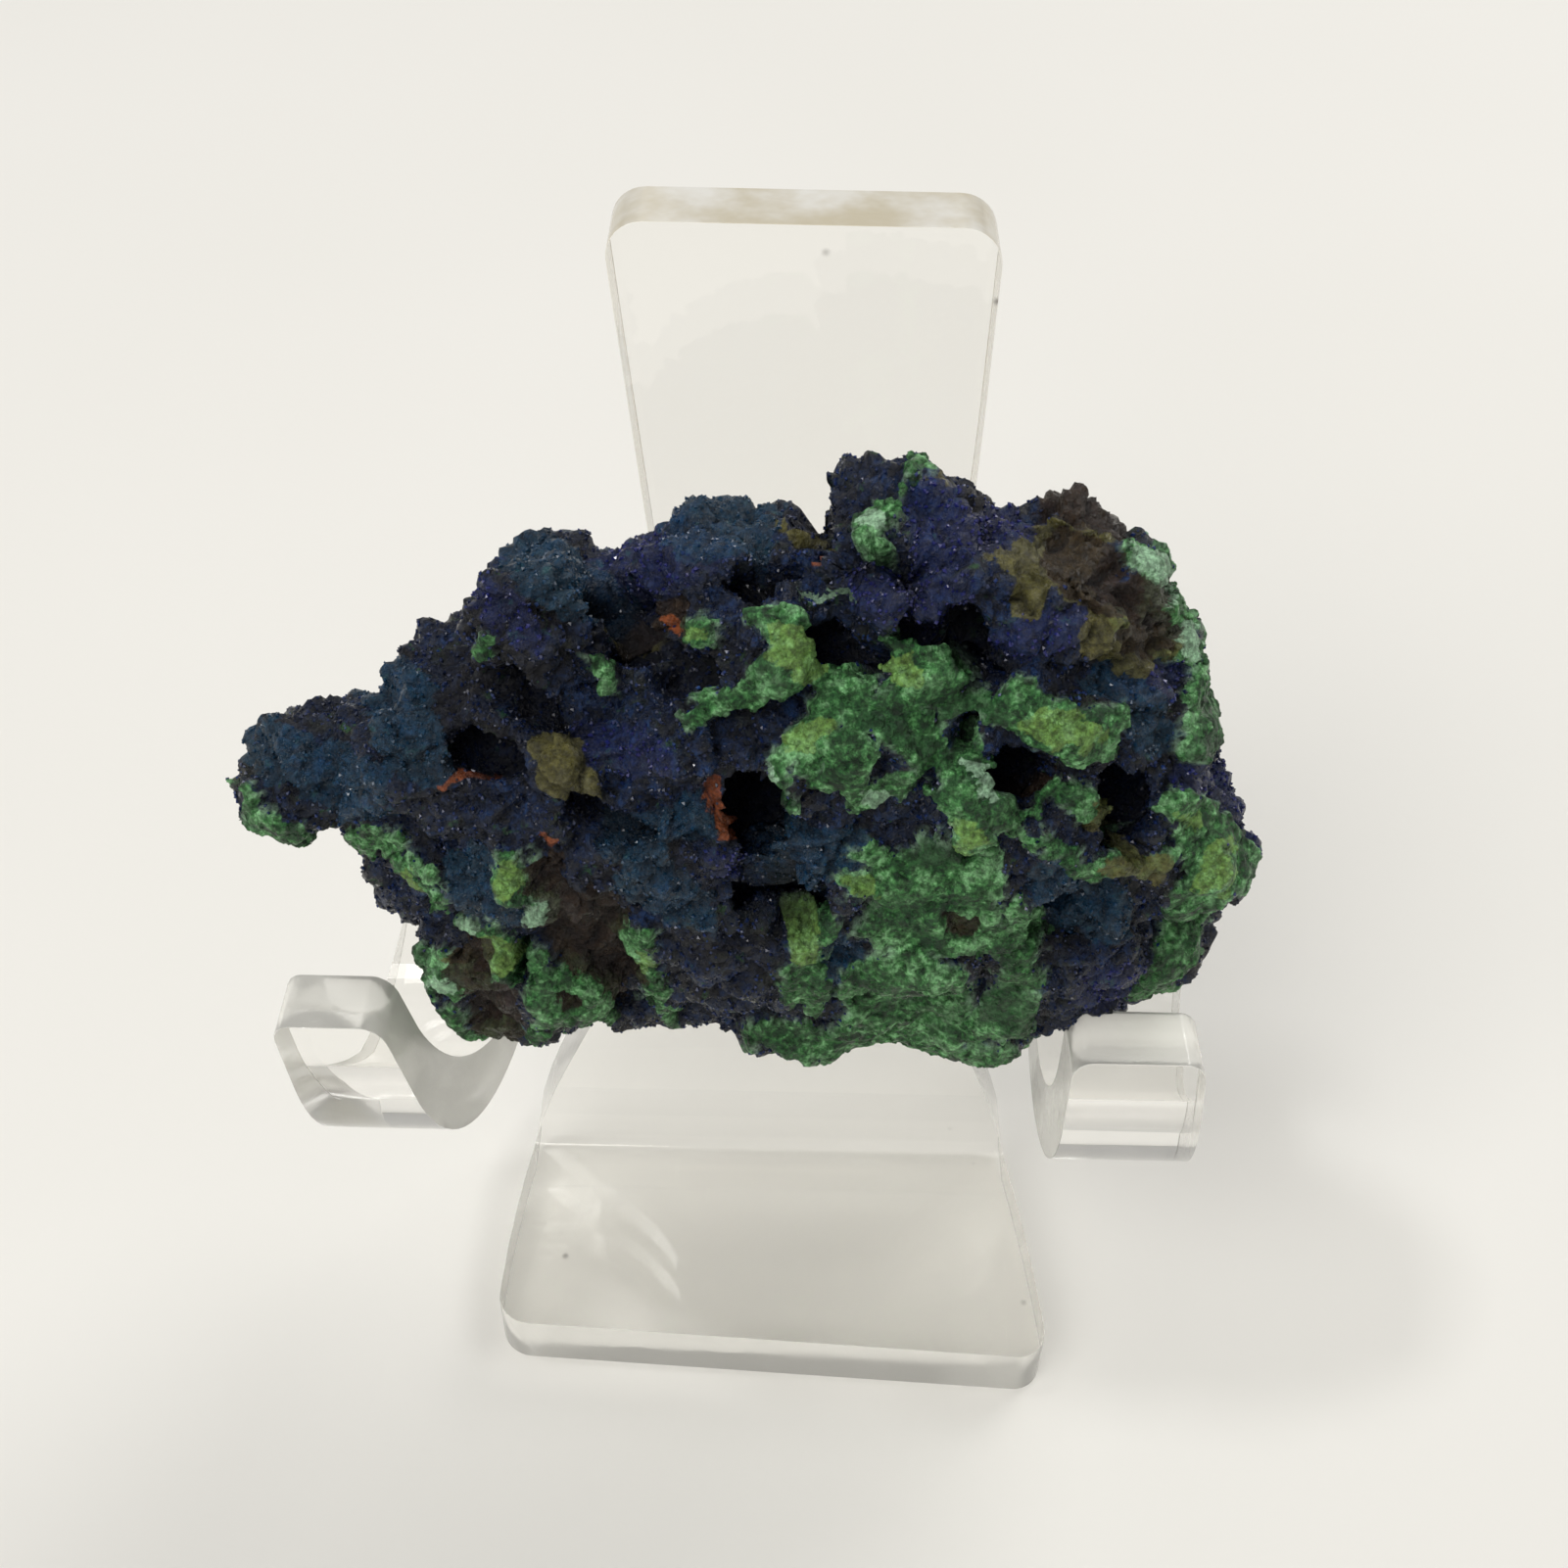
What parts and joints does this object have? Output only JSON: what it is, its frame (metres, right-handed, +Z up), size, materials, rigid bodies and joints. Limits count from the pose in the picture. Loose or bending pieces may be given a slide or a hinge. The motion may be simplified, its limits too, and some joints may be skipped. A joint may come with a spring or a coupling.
{
  "type": "raw azurite specimen on display easel",
  "caption": "Raw azurite and malachite cluster, a craggy slab, held upright in the hooks of a one-piece clear acrylic easel.",
  "frame": {"origin": "middle of the foot's flat underside, on the table", "axes": "+Z up, -Y towards the viewer, +X to the viewer's right"},
  "size_m": [0.0572, 0.0323, 0.0723],
  "materials": {
    "azurite": "matte",
    "acrylic": "polished"
  },
  "bodies": {
    "root": {"azurite": "azurite", "easel": "acrylic"}
  },
  "joints": []
}
